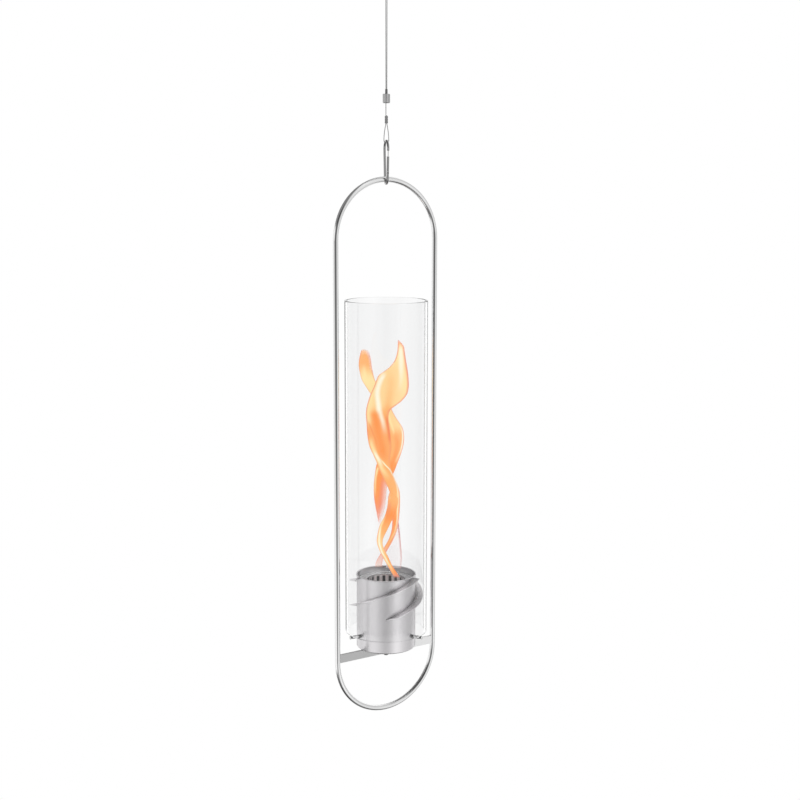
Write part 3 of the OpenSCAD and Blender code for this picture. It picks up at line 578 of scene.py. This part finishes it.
class Flame(Nodes):
    """A glowing sheet coloured by streaks that run along it. Places are in the sheet's own coordinates."""

    def __init__(self, name, base, alpha):
        super().__init__(name)
        self.set(Base_Color=(0, 0, 0, 1), Roughness=1.0, Emission_Strength=1.06, Specular_IOR_Level=0.0)
        flow = self.add("ShaderNodeUVMap", uv_map="flow")
        rim = self.add("ShaderNodeUVMap", uv_map="rim")
        split = self.add("ShaderNodeSeparateXYZ")
        self.link(flow.outputs["UV"], split.inputs[0])
        sides = self.add("ShaderNodeSeparateXYZ")
        self.link(rim.outputs["UV"], sides.inputs[0])
        # A slight waver keeps the streaks from looking ruled
        wave = self.noise((50, 50, 22), 1.0, 2.0)
        drift = self.math("MULTIPLY", self.math("SUBTRACT", wave, 0.5), 0.03)
        self.across = self.math("ADD", split.outputs["X"], drift)
        self.down = split.outputs["Y"]
        self.left, self.right = sides.outputs["X"], sides.outputs["Y"]
        self.colour = self.ramp(self.down, [(self.at(v), c) for v, c in base], "EASE")
        self.alpha = self.curve(alpha)

    @staticmethod
    def at(v):
        return min(1.0, max(0.0, (v - FLOW_V) / FLOW_H))

    def curve(self, stops):
        """A share that changes down the sheet."""
        return self.ramp(self.down, [(self.at(v), grey(a)) for v, a in stops], "EASE")

    def falloff(self, distance, reach):
        return self.map_range(distance, 0.0, reach, To_Min=1.0, To_Max=0.0, interpolation_type="SMOOTHSTEP")

    def paint(self, colour, share):
        n = self.add("ShaderNodeMix", data_type="RGBA", blend_type="MIX")
        n.inputs[7].default_value = tuple(colour) + (1.0,)
        self.link(share, n.inputs[0])
        self.link(self.colour, n.inputs[6])
        self.colour = n.outputs[2]

    def near(self, half, path):
        """How near a point is to a path of (v, u) points, out to half a streak's width."""
        middle = self.ramp(self.down, [(self.at(v), grey((u - FLOW_U) / FLOW_W)) for v, u in path], "CARDINAL")
        return self.falloff(self.math("ABSOLUTE", self.math("SUBTRACT", self.across, middle)), half / FLOW_W)

    def streak(self, colour, half, path, amount):
        self.paint(colour, self.math("MULTIPLY", self.near(half, path), self.curve(amount)))

    def edge(self, colour, side, reach, amount):
        self.paint(colour, self.math("MULTIPLY", self.falloff(side, reach / RIM_W), self.curve(amount)))

    def thin(self, share, amount):
        """Lets the sheet show through where share is high."""
        keep = self.math("SUBTRACT", 1.0, self.math("MULTIPLY", share, self.curve(amount)))
        self.alpha = self.math("MULTIPLY", self.alpha, keep)

    def done(self):
        self.link(self.colour, self.shader.inputs["Emission Color"])
        self.link(self.alpha, self.shader.inputs["Alpha"])
        return self.mat


PALE = (1.0, 0.96, 0.76)
YELLOW = (1.0, 0.79, 0.38)
STRAW = (1.0, 0.68, 0.31)
AMBER = (1.0, 0.46, 0.15)
PEACH = (1.0, 0.41, 0.13)
ORANGE = (1.0, 0.31, 0.065)
EMBER = (0.93, 0.22, 0.06)
ROSE = (0.90, 0.27, 0.17)
BLUSH = (0.92, 0.50, 0.42)

f1 = Flame(
    "flame_front",
    [
        (340, AMBER), (350, YELLOW), (372, STRAW), (404, STRAW), (414, AMBER), (424, PEACH), (455, PEACH),
        (470, AMBER), (500, AMBER), (520, ORANGE), (545, AMBER), (553, BLUSH), (567, (0.82, 0.56, 0.46)),
    ],
    [(339, 0.35), (346, 0.9), (352, 1.0), (540, 1.0), (552, 0.85), (557, 0.55), (564, 0.42), (567, 0.12)],
)
f1.streak(
    PALE, 4.2,
    [(343, 400.6), (352, 400.8), (366, 401.2), (380, 401.5), (396, 399)],
    [(342, 0), (352, 0.75), (370, 0.8), (396, 0)],
)
f1.streak(YELLOW, 7.0, [(360, 404), (400, 404), (410, 398)], [(360, 0), (384, 0.75), (405, 0)])
f1.streak(
    AMBER, 7.0,
    [(372, 391), (385, 391), (400, 389), (410, 388)],
    [(368, 0), (384, 0.35), (400, 0.5), (410, 0.9), (416, 0)],
)
f1.streak(
    YELLOW, 6.0,
    [(384, 372.5), (404, 369), (420, 368.5), (440, 370)],
    [(376, 0), (390, 0.9), (418, 0.8), (430, 0)],
)
f1.streak(
    PALE, 4.4,
    [(374, 383.5), (380, 380.5), (391, 377.5), (404, 378.3), (411, 379.2), (420, 381.8), (430, 384.5), (440, 387)],
    [(370, 0), (378, 0.9), (406, 1.0), (416, 0.85), (438, 0)],
)
f1.streak(
    EMBER, 0.8,
    [(418, 367.2), (428, 371), (437, 374.6), (449, 378)],
    [(420, 0), (427, 0.8), (440, 0.6), (450, 0)],
)
f1.streak(
    ORANGE, 6.5,
    [(408, 374), (420, 376), (440, 380), (460, 384)],
    [(409, 0), (416, 0.95), (450, 0.85), (464, 0)],
)
f1.streak(EMBER, 2.6, [(412, 385.5), (424, 388), (440, 390)], [(412, 0), (422, 0.9), (436, 0.8), (446, 0)])
f1.streak(
    YELLOW, 4.8,
    [(436, 370.5), (446, 372), (455, 375.8), (462, 379), (470, 383), (480, 388)],
    [(434, 0), (446, 0.85), (458, 1.0), (468, 0.8), (482, 0)],
)
f1.streak(PALE, 3.2, [(448, 373.5), (458, 378), (466, 382)], [(448, 0), (457, 0.9), (468, 0)])
f1.streak(
    YELLOW, 1.7,
    [
        (458, 381), (461, 382.6), (468, 388.4), (475, 393), (483, 396.4), (491, 398.1), (507, 397.9), (525, 396.6),
        (534, 394.3), (545, 388.5),
    ],
    [(457, 0), (463, 1.0), (530, 1.0), (543, 0)],
)
f1.streak(
    PALE, 1.0,
    [
        (458, 381), (461, 382.6), (468, 388.4), (475, 393), (483, 396.4), (491, 398.1), (507, 397.9), (525, 396.6),
        (534, 394.3),
    ],
    [(458, 0), (466, 0.8), (484, 0.7), (500, 0.2), (520, 0.6), (532, 0)],
)
f1.streak(
    ORANGE, 3.2,
    [(484, 391), (500, 391.5), (514, 392), (530, 392.5)],
    [(488, 0), (502, 0.8), (520, 0.9), (534, 0)],
)
f1.edge(ROSE, f1.left, 2.0, [(341, 0.9), (378, 0.8), (392, 0.9), (420, 0.8), (450, 0.45), (470, 0.5), (560, 0.6)])
f1.edge(
    ROSE, f1.right, 3.0,
    [(341, 0.8), (356, 1.0), (384, 1.0), (396, 0.8), (408, 0.9), (416, 0.3), (460, 0.3), (500, 0.5), (560, 0.8)],
)
f1.thin(f1.falloff(f1.left, 2.6 / RIM_W), [(356, 0.0), (364, 0.55), (378, 0.5), (384, 0.0)])
f1.thin(f1.falloff(f1.right, 1.6 / RIM_W), [(345, 0.25), (396, 0.25), (410, 0.0), (530, 0.0), (560, 0.5)])

f2 = Flame(
    "flame_back",
    [
        (348, AMBER), (362, AMBER), (380, YELLOW), (398, STRAW), (414, STRAW), (424, STRAW), (436, AMBER),
        (455, AMBER), (470, ORANGE), (490, ORANGE), (524, ROSE),
    ],
    [(348, 0.0), (352, 0.6), (357, 0.95), (362, 1.0), (480, 1.0), (500, 0.95), (520, 0.5), (525, 0.1)],
)
f2.streak(
    YELLOW, 3.6,
    [(358, 364), (372, 364), (382, 366.5), (392, 372)],
    [(362, 0), (374, 0.8), (392, 0.7), (400, 0)],
)
f2.streak(ROSE, 4.0, [(350, 369), (360, 371.5), (372, 373.4), (382, 376)], [(350, 0.7), (364, 0.75), (384, 0)])
f2.streak(
    YELLOW, 1.8,
    [(408, 387.5), (416, 389.2), (424, 391.6), (432, 393.8)],
    [(410, 0), (418, 0.95), (428, 0.8), (438, 0)],
)
f2.streak(EMBER, 1.8, [(412, 386.2), (422, 388), (434, 390.4)], [(412, 0), (420, 0.8), (438, 0)])
f2.streak(ORANGE, 4.0, [(430, 395), (445, 397), (460, 394), (474, 389)], [(430, 0), (442, 0.7), (466, 0.8), (478, 0)])
f2.streak(
    PALE, 1.6,
    [(424, 400.4), (432, 402.4), (442, 402.3), (452, 400), (462, 396)],
    [(422, 0), (434, 0.9), (446, 0.9), (458, 0.3), (464, 0)],
)
f2.streak(
    YELLOW, 2.0,
    [(460, 381), (468, 378), (476, 375.8), (484, 374.9), (496, 375)],
    [(462, 0), (470, 0.95), (486, 0.7), (500, 0)],
)
f2.streak(
    ROSE, 3.6,
    [(476, 383), (490, 381.5), (505, 380.5), (520, 380.5)],
    [(474, 0), (486, 0.7), (510, 0.6), (524, 0)],
)
f2.edge(ROSE, f2.left, 1.2, [(349, 0.9), (380, 0.6), (410, 0.6), (460, 0.4), (490, 0.6), (524, 0.9)])
f2.edge(ROSE, f2.right, 1.2, [(349, 0.6), (410, 0.8), (440, 0.9), (470, 0.5), (524, 0.3)])
f2.streak(BLUSH, 4.0, [(476, 386), (490, 384.5), (505, 383), (520, 381)], [(476, 0), (486, 0.75), (520, 0.8)])
f2.thin(f2.falloff(f2.right, 5.0 / RIM_W), [(474, 0.0), (484, 0.55), (522, 0.8)])
f2.thin(f2.falloff(f2.right, 4.5 / RIM_W), [(350, 0.7), (368, 0.55), (376, 0.0), (380, 0.0)])

f3 = Flame(
    "flame_root",
    [(486, AMBER), (500, AMBER), (515, ORANGE), (530, AMBER), (545, STRAW), (560, AMBER), (572, ORANGE), (576, ROSE)],
    [(486, 0.0), (496, 0.7), (503, 1.0), (570, 1.0), (574, 0.75), (578, 0.0)],
)
f3.streak(ROSE, 2.6, [(500, 390), (508, 389.5), (518, 387.5)], [(498, 0), (507, 0.5), (522, 0)])
f3.streak(
    YELLOW, 2.4,
    [(510, 387), (524, 381.6), (534, 379.3), (545, 379.8), (555, 383.6), (563, 388), (572, 393)],
    [(512, 0), (522, 0.9), (562, 0.95), (573, 0.2)],
)
f3.streak(
    PALE, 1.3,
    [(524, 381.4), (534, 379.2), (545, 379.8), (555, 383.6), (563, 388)],
    [(524, 0), (533, 0.8), (549, 1.0), (558, 0.7), (566, 0)],
)
f3.edge(ROSE, f3.left, 0.9, [(500, 0.6), (530, 0.7), (550, 0.7), (577, 0.5)])
f3.edge(EMBER, f3.right, 1.2, [(500, 0.2), (540, 0.4), (560, 0.5), (577, 0.7)])

f4 = Flame(
    "flame_veil",
    [(522, BLUSH), (545, (0.86, 0.80, 0.80)), (568, (0.86, 0.78, 0.78))],
    [(522, 0.5), (532, 0.22), (568, 0.2)],
)
f4.edge((0.60, 0.20, 0.18), f4.right, 2.6, [(522, 0.95), (568, 0.7)])
hem = f4.math("MULTIPLY", f4.falloff(f4.right, 2.8 / RIM_W), f4.curve([(522, 0.9), (550, 0.85), (568, 0.3)]))
f4.alpha = f4.math("MAXIMUM", f4.alpha, hem)

tongue("flame_tongue_1", TONGUE_1, 4.0, f1.done())
tongue("flame_tongue_2", TONGUE_2, 4.0, f2.done())
tongue("flame_tongue_3", TONGUE_3, 3.5, f3.done())
tongue("flame_veil", VEIL, 1.5, f4.done())

# The floor, far below, fades to plain white between two distances from the axis
FLOOR_Z, FLOOR_HALF = -2.4, 1.5
FADE_FROM, FADE_TO = 0.35, 1.3
corners = ((-1, -1), (1, -1), (1, 1), (-1, 1))
floor_mesh = bpy.data.meshes.new("floor")
floor_mesh.from_pydata([(FLOOR_HALF * x, FLOOR_HALF * y, FLOOR_Z) for x, y in corners], [], [(0, 1, 2, 3)])
floor = bpy.data.objects.new("floor", floor_mesh)
scene.collection.objects.link(floor)
floor.visible_glossy = False
f = Nodes("floor_pale")
f.set(Base_Color=(0.80, 0.80, 0.80, 1), Roughness=0.9)
fade = f.map_range(f.distance("LENGTH", (1, 1, 0)), FADE_FROM, FADE_TO, interpolation_type="SMOOTHSTEP")
ray = f.add("ShaderNodeLightPath")
seen = f.math("MAXIMUM", ray.outputs["Is Camera Ray"], ray.outputs["Is Transmission Ray"])
white = f.add("ShaderNodeEmission", Color=(1, 1, 1, 1), Strength=1.0)
pick = f.add("ShaderNodeMixShader")
f.link(f.math("MULTIPLY", fade, seen), pick.inputs["Fac"])
f.link(f.shader.outputs[0], pick.inputs[1])
f.link(white.outputs[0], pick.inputs[2])
f.link(pick.outputs[0], f.out.inputs["Surface"])
floor_mesh.materials.append(f.mat)

# The world is white to the eye. What it lights and what metal mirrors is a soft studio: bright panels and darker
# gaps by compass direction, and a darker lower half.
world = bpy.data.worlds.new("studio")
scene.world = world
world.use_nodes = True
w = Tree(world.node_tree)
for n in list(w.tree.nodes):
    w.tree.nodes.remove(n)

# How bright the panels are by compass direction from the camera's side of the object, positive to the right
PANELS = [
    (-180, 1.0), (-145, 1.1), (-138, 0.98), (-128, 0.84), (-116, 0.76), (-84, 0.90), (-48, 1.07), (-30, 1.01),
    (0, 0.90), (26, 0.94), (40, 1.05), (50, 1.02), (64, 0.80), (80, 0.66), (104, 0.58), (118, 0.58), (130, 0.80),
    (140, 0.98), (146, 1.1), (180, 1.0),
]
# How bright the room is by height: the sine of the angle over the level
UPWARD = [
    (-1.0, 0.16), (-0.90, 0.20), (-0.76, 0.52), (-0.58, 0.97), (-0.48, 1.0), (0.6, 1.0), (0.85, 0.85), (1.0, 0.78),
]
# The gaps: how much each one darkens by compass direction, by height, and at most
GAPS = [
    # behind the camera: the dark line along the frame's rails
    (
        [(-38, 0.0), (-26, 0.25), (-14, 0.8), (0, 1.0), (12, 0.9), (24, 0.5), (34, 0.0)],
        [(-0.62, 0.0), (-0.48, 1.0), (0.40, 1.0), (0.62, 0.0)],
        0.42,
    ),
    # high up on the left, and low down on the left: the frame's bends mirror them
    (
        [(-180, 0.9), (-75, 1.0), (6, 1.0), (28, 0.0), (160, 0.0), (180, 0.9)],
        [(0.22, 0.0), (0.36, 1.0), (1.0, 1.0)],
        0.75,
    ),
    (
        [(-120, 0.0), (-100, 1.0), (-30, 1.0), (0, 0.7), (20, 0.0)],
        [(-1.0, 1.0), (-0.62, 1.0), (-0.44, 0.0)],
        0.80,
    ),
    # a strip behind the object, low down: it draws the glass's two edges
    (
        [(-180, 0.78), (-160, 0.78), (-156, 0.0), (156, 0.0), (160, 0.38), (180, 0.38)],
        [(-0.45, 0.0), (-0.35, 1.0), (-0.06, 1.0), (0.03, 0.0)],
        1.0,
    ),
    # on the left, just under the level: it greys the left flank of the rails
    (
        [(-90, 0.0), (-70, 0.5), (-46, 1.0), (-30, 1.0), (-12, 0.0)],
        [(-0.26, 0.0), (-0.17, 1.0), (0.0, 1.0), (0.06, 0.0)],
        0.45,
    ),
]
STUDIO_STRENGTH = 1.08


def by_compass(stops):
    return w.ramp(compass, [((a + 180) / 360, grey(v)) for a, v in stops], "EASE")


def by_height(stops):
    return w.ramp(height, [((z + 1) / 2, grey(v)) for z, v in stops], "EASE")


coord = w.add("ShaderNodeTexCoord")
split = w.add("ShaderNodeSeparateXYZ")
w.link(coord.outputs["Generated"], split.inputs[0])


def level_part(direction):
    """How far the ray goes along a level direction."""
    along_x = w.math("MULTIPLY", split.outputs["X"], direction.x)
    return w.math("ADD", along_x, w.math("MULTIPLY", split.outputs["Y"], direction.y))


turned = w.math("ARCTAN2", level_part(RIGHT), level_part(-AHEAD))
compass = w.math("ADD", w.math("MULTIPLY", turned, 0.5 / math.pi), 0.5)
height = w.math("ADD", w.math("MULTIPLY", split.outputs["Z"], 0.5), 0.5)
lit = by_compass(PANELS)
for across, up, depth in GAPS:
    dark = w.math("MULTIPLY", by_compass(across), by_height(up))
    lit = w.math("MULTIPLY", lit, w.math("SUBTRACT", 1.0, w.math("MULTIPLY", dark, depth)))
studio = w.add("ShaderNodeBackground", Strength=STUDIO_STRENGTH)
w.link(w.math("MULTIPLY", lit, by_height(UPWARD)), studio.inputs["Color"])
plain = w.add("ShaderNodeBackground", Color=(1, 1, 1, 1), Strength=1.0)
ray = w.add("ShaderNodeLightPath")
bounced = w.math("MINIMUM", w.math("ADD", ray.outputs["Glossy Depth"], ray.outputs["Diffuse Depth"]), 1.0)
pick = w.add("ShaderNodeMixShader")
w.link(bounced, pick.inputs["Fac"])
w.link(plain.outputs[0], pick.inputs[1])
w.link(studio.outputs[0], pick.inputs[2])
out = w.add("ShaderNodeOutputWorld")
w.link(pick.outputs[0], out.inputs["Surface"])

# One wide soft lamp above, on the left, aimed at the middle of the glass
LAMP_AT, LAMP_AIM = Vector((-0.7, -0.6, 1.9)), Vector((0, 0, -0.7))
LAMP_SIZE, LAMP_WATTS = 1.6, 16.0
lamp_data = bpy.data.lights.new("soft_key", "AREA")
lamp_data.shape = "RECTANGLE"
lamp_data.size, lamp_data.size_y = LAMP_SIZE, LAMP_SIZE
lamp_data.energy = LAMP_WATTS
lamp = bpy.data.objects.new("soft_key", lamp_data)
lamp.location = LAMP_AT
lamp.visible_glossy = False
lamp.rotation_euler = (LAMP_AIM - LAMP_AT).to_track_quat("-Z", "Y").to_euler()
scene.collection.objects.link(lamp)

bpy.context.view_layer.update()
